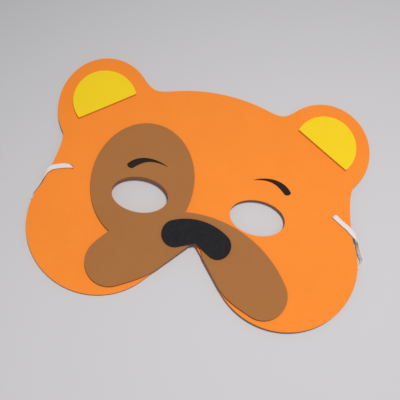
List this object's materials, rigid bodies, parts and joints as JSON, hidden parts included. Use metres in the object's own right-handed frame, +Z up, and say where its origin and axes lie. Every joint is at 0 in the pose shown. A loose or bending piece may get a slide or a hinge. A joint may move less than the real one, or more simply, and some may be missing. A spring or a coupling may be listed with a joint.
{
  "type": "bear mask",
  "caption": "Child's bear half mask cut from soft foam sheet, lying face up, with round ears, eye holes, a mouth notch, glued muzzle, nose and ear insides, printed brows and a flat elastic.",
  "frame": {"origin": "on the surface it lies on, under the middle of the face panel", "axes": "+X across the face to the right ear as seen from the front, +Y from the chin to the ears, +Z up, out of the face"},
  "size_m": [0.2227, 0.1608, 0.0092],
  "materials": {
    "orange_foam": "matte closed-cell foam sheet",
    "brown_foam": "matte closed-cell foam sheet",
    "black_foam": "matte closed-cell foam sheet",
    "yellow_foam": "matte closed-cell foam sheet",
    "black_ink": "thick matte printed ink",
    "white_elastic": "flat braided elastic"
  },
  "bodies": {
    "root": {"face_panel": "orange_foam", "muzzle_patch": "brown_foam", "nose": "black_foam", "ear_inset_left": "yellow_foam", "ear_inset_right": "yellow_foam", "brow_left": "black_ink", "brow_right": "black_ink", "elastic": "white_elastic", "knot_left": "white_elastic", "knot_right": "white_elastic"}
  },
  "joints": []
}
